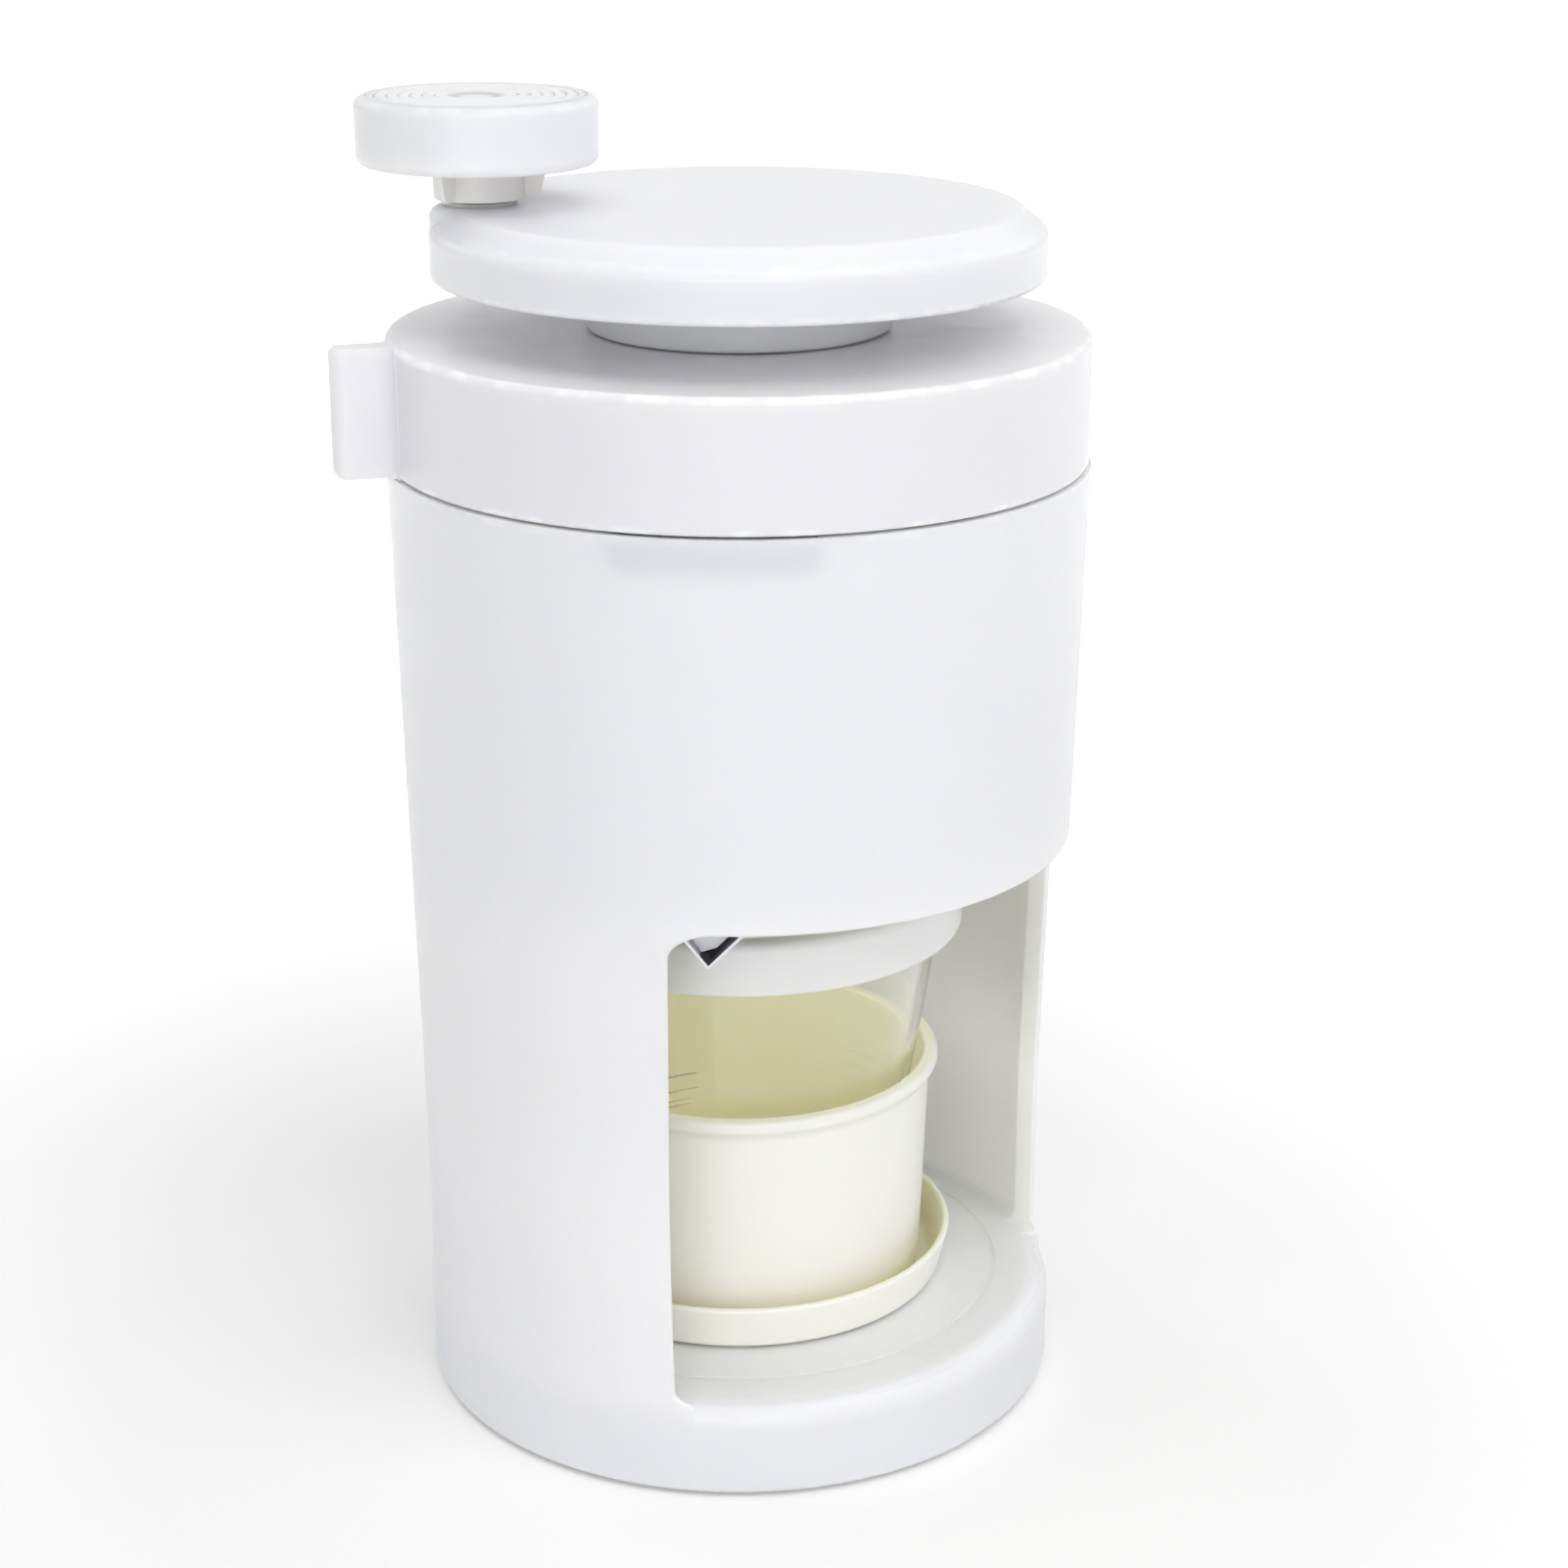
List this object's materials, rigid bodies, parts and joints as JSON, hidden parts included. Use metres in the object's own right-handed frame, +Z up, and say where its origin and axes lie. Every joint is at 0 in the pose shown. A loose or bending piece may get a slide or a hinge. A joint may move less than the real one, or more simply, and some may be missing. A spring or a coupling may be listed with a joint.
{
  "type": "hand cranked ice shaver",
  "caption": "Compact white ice shaver: a round housing with a cup bay, a twist-off lid with a disc crank and finger knob, and a clear cup in a cream sleeve on a saucer.",
  "frame": {"origin": "on the surface the shaver stands on, on the vertical axis of the housing, crank and cup", "axes": "+Z up along the crank's axis; -Y out of the front, through the middle of the cup window"},
  "size_m": [0.1263, 0.125, 0.2396],
  "materials": {
    "white_abs": "satin moulded",
    "white_pp": "smooth moulded",
    "cream_pp": "smooth moulded",
    "clear_cup": "clear moulded plastic",
    "silicone": "matt silicone",
    "foot_rubber": "matt rubber",
    "blade_steel": "rolled, edge ground",
    "bright_steel": "bright stainless",
    "shaft_steel": "turned",
    "spring_steel": "drawn wire",
    "acetal": "natural acetal"
  },
  "bodies": {
    "base": {"housing": "white_abs", "base_plate": "white_pp", "rubber_feet": "foot_rubber", "base_screws": "bright_steel", "ice_chamber": "white_pp", "chamber_screws": "bright_steel", "blade": "blade_steel", "blade_holder": "white_pp", "blade_screws": "bright_steel"},
    "seal_ring": {"lid_seal": "silicone"},
    "lid": {"lid": "white_abs", "lid_inner_plate": "white_pp", "lid_plate_screws": "bright_steel", "lid_bush": "acetal", "thrust_washer": "bright_steel"},
    "crank": {"crank_disc": "white_abs", "crank_base": "white_abs", "crank_screws": "bright_steel", "drive_shaft": "shaft_steel", "shaft_screw": "bright_steel", "spring_seat": "bright_steel", "presser_spring": "spring_steel", "stop_washer": "bright_steel", "stop_screw": "bright_steel", "knob_stud": "bright_steel", "knob_spacer": "acetal", "knob_screw": "bright_steel"},
    "presser": {"presser_plate": "white_pp", "presser_spikes": "bright_steel"},
    "knob": {"knob": "white_abs", "knob_cap": "white_abs", "knob_hub": "white_abs"},
    "serving_set": {"saucer": "cream_pp", "cup_sleeve": "cream_pp", "cup": "clear_cup", "cup_collar": "white_pp"}
  },
  "joints": [
    {"name": "lid_lift", "type": "slide", "parent": "base", "child": "seal_ring", "axis": [0, 0, 1], "range_m": [0, 0.075]},
    {"name": "lid_twist", "type": "hinge", "parent": "seal_ring", "child": "lid", "pos_m": [0, 0, 0.177], "axis": [0, 0, 1], "range_deg": [0, 20]},
    {"name": "crank_turn", "type": "hinge", "parent": "lid", "child": "crank", "pos_m": [0, 0, 0.19], "axis": [0, 0, 1], "continuous": true},
    {"name": "presser_travel", "type": "slide", "parent": "crank", "child": "presser", "axis": [0, 0, 1], "range_m": [0, 0.038], "stiffness_N_per_m": 60, "springref_m": -0.03, "deforming": ["presser_spring"]},
    {"name": "knob_spin", "type": "hinge", "parent": "crank", "child": "knob", "pos_m": [-0.03237, 0.03126, 0.23], "axis": [0, 0, 1], "continuous": true},
    {"name": "cup_out", "type": "slide", "parent": "base", "child": "serving_set", "axis": [0, -1, 0], "range_m": [0, 0.11]}
  ]
}
